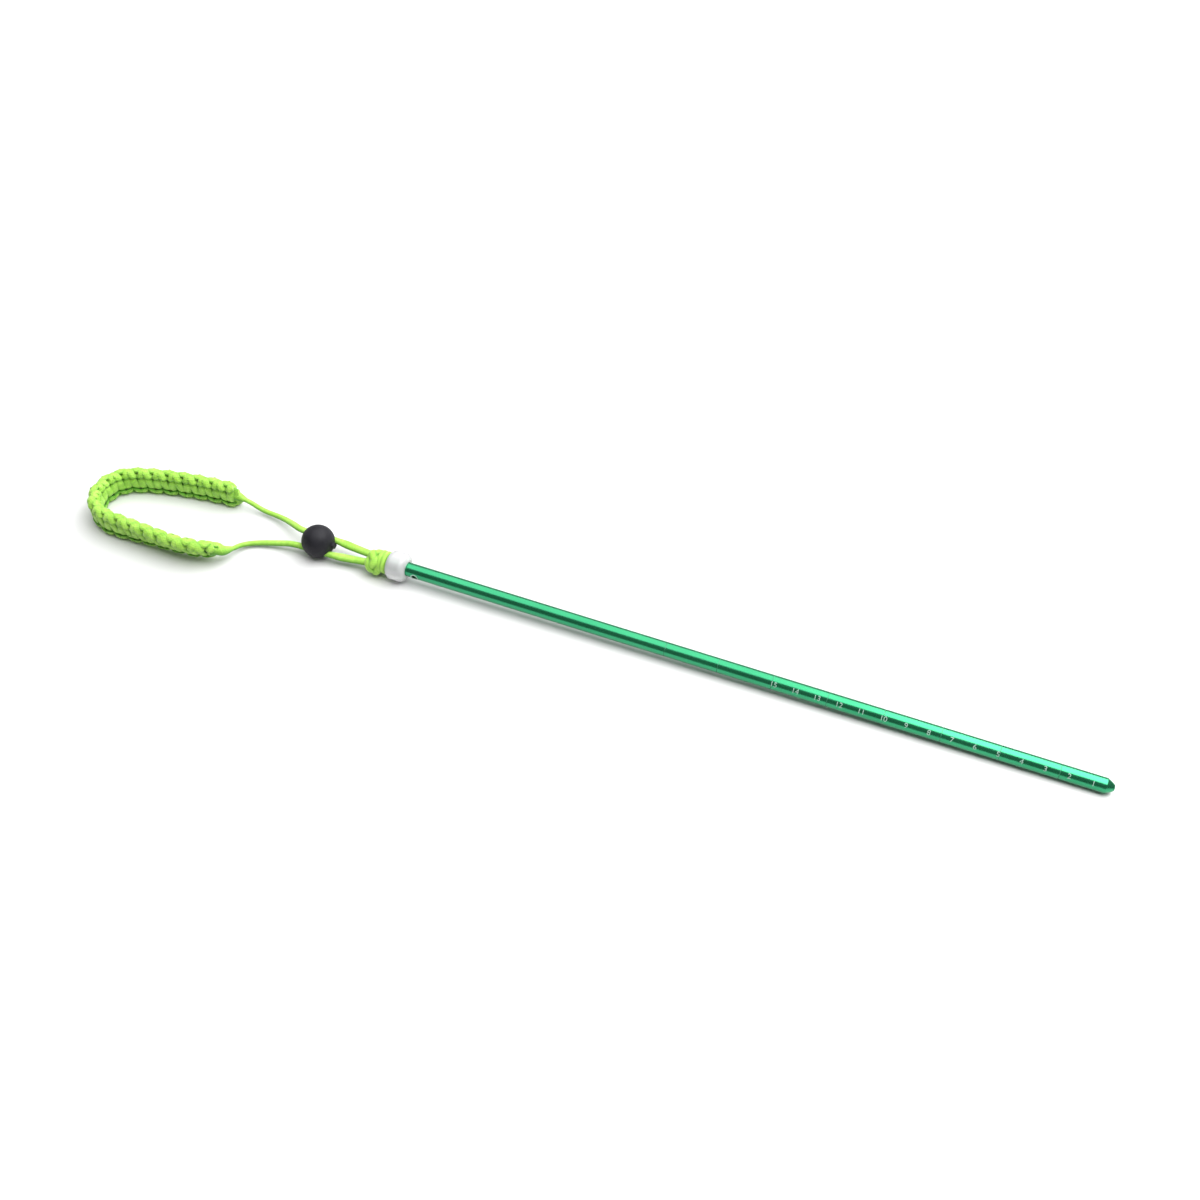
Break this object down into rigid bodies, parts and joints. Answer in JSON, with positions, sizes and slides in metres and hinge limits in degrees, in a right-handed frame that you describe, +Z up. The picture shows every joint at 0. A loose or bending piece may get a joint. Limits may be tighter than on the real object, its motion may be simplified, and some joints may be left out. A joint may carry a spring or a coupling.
{
  "type": "graduated pointer stick",
  "caption": "Slim metal diver's pointer rod with a blunt cone tip, centimetre figures, inch rings, a clear stop bead and a woven cord wrist lanyard with a ball-shaped spring lock.",
  "frame": {"origin": "on the supporting surface, under the middle of the whole part's length and width without its loose cords", "axes": "+X along the rod from the lanyard to the tip, +Z up, the figures face -Y"},
  "size_m": [0.5055, 0.0493, 0.0165],
  "materials": {
    "anodised_rod": "satin green anodising",
    "clear_bead": "clear, slightly milky moulded plastic",
    "cord": "braided nylon cord sheath",
    "woven_cord": "braided nylon cord, woven in square knots",
    "lock_plastic": "fine matte moulded plastic",
    "spring_steel": "bright drawn wire"
  },
  "bodies": {
    "stick": {"rod": "anodised_rod", "end_bead": "clear_bead", "lanyard_knot": "cord", "lanyard_strand": "cord", "leg_far_front": "cord", "leg_near_front": "cord", "leg_far_back": "cord", "leg_near_back": "cord", "band_far_side": "woven_cord", "band_bend": "woven_cord", "band_near_side": "woven_cord"},
    "lock_body": {"lock_body": "lock_plastic", "lock_spring": "spring_steel"},
    "lock_plunger": {"lock_plunger": "lock_plastic"}
  },
  "joints": [
    {"name": "lock_slide", "type": "slide", "parent": "stick", "child": "lock_body", "axis": [1, 0, 0], "range_m": [-0.022, 0.013], "deforming": ["leg_far_front", "leg_near_front", "leg_far_back", "leg_near_back"]},
    {"name": "lock_press", "type": "slide", "parent": "lock_body", "child": "lock_plunger", "axis": [0, -0.2924, 0.9563], "range_m": [0, 0.002], "stiffness_N_per_m": 500, "springref_m": -0.002, "deforming": ["lock_spring"]}
  ]
}
